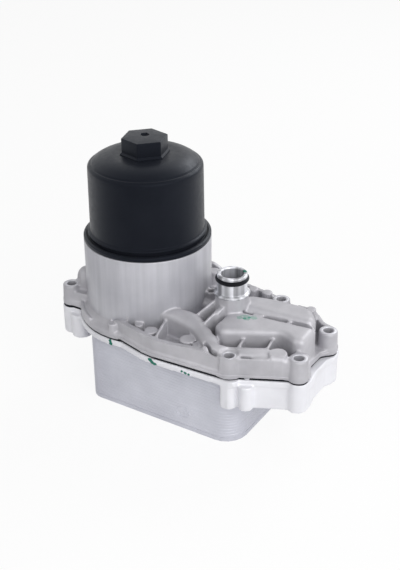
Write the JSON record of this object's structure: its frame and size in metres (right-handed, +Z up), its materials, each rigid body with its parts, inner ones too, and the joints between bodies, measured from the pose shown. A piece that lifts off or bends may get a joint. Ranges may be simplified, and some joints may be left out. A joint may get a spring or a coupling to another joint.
{
  "type": "oil filter housing",
  "caption": "Cast oil filter housing with a screw-on cap, a replaceable pleated element and a stacked-plate oil cooler under it.",
  "frame": {"origin": "on the filter axis, in the plane of the cooler's underside", "axes": "+Z up along the filter axis, +X along the cooler's long side towards the deep end of the cover"},
  "size_m": [0.2639, 0.1516, 0.245],
  "materials": {
    "cast_alloy": "satin",
    "cover_alloy": "satin",
    "cooler_alloy": "satin",
    "turned_alloy": "polished",
    "black_nylon": "satin",
    "dark_nylon": "satin",
    "seal_rubber": "matte",
    "steel": "satin",
    "brass": "satin",
    "filter_paper": "matte"
  },
  "bodies": {
    "root": {"cooler_core": "cooler_alloy", "cooler_base_plate": "cooler_alloy", "cooler_top_plate": "cooler_alloy", "cooler_port_seals": "seal_rubber", "cooler_screws": "steel", "cooler_cover": "cover_alloy", "housing_gasket": "seal_rubber", "dowel_pins": "steel", "filter_housing": "cast_alloy", "connector_tube": "turned_alloy", "connector_o_ring": "seal_rubber", "standpipe": "dark_nylon", "bypass_seat": "brass", "bypass_spring": "steel"},
    "bypass": {"bypass_poppet": "steel"},
    "element": {"filter_pleats": "filter_paper", "element_core": "dark_nylon", "element_bottom_cap": "dark_nylon", "element_top_cap": "dark_nylon", "element_bottom_seal": "seal_rubber", "element_top_seal": "seal_rubber"},
    "cap_seal": {"cap_o_ring": "seal_rubber"},
    "cap": {"filter_cap": "black_nylon"}
  },
  "joints": [
    {"name": "bypass_open", "type": "slide", "parent": "root", "child": "bypass", "axis": [0, 0, -1], "range_m": [0, 0.006], "stiffness_N_per_m": 1500, "springref_m": -0.004, "deforming": ["bypass_spring"]},
    {"name": "element_lift", "type": "slide", "parent": "root", "child": "element", "axis": [0, 0, 1], "range_m": [0, 0.14]},
    {"name": "cap_rise", "type": "slide", "parent": "element", "child": "cap_seal", "axis": [0, 0, 1], "range_m": [0, 0.0161]},
    {"name": "cap_unscrew", "type": "hinge", "parent": "cap_seal", "child": "cap", "pos_m": [0, 0, 0.2], "axis": [0, 0, 1], "range_deg": [0, 1440]}
  ],
  "couplings": [
    {"joint": "cap_rise", "follows": "cap_unscrew", "m_per_rad": 0.00063662}
  ]
}
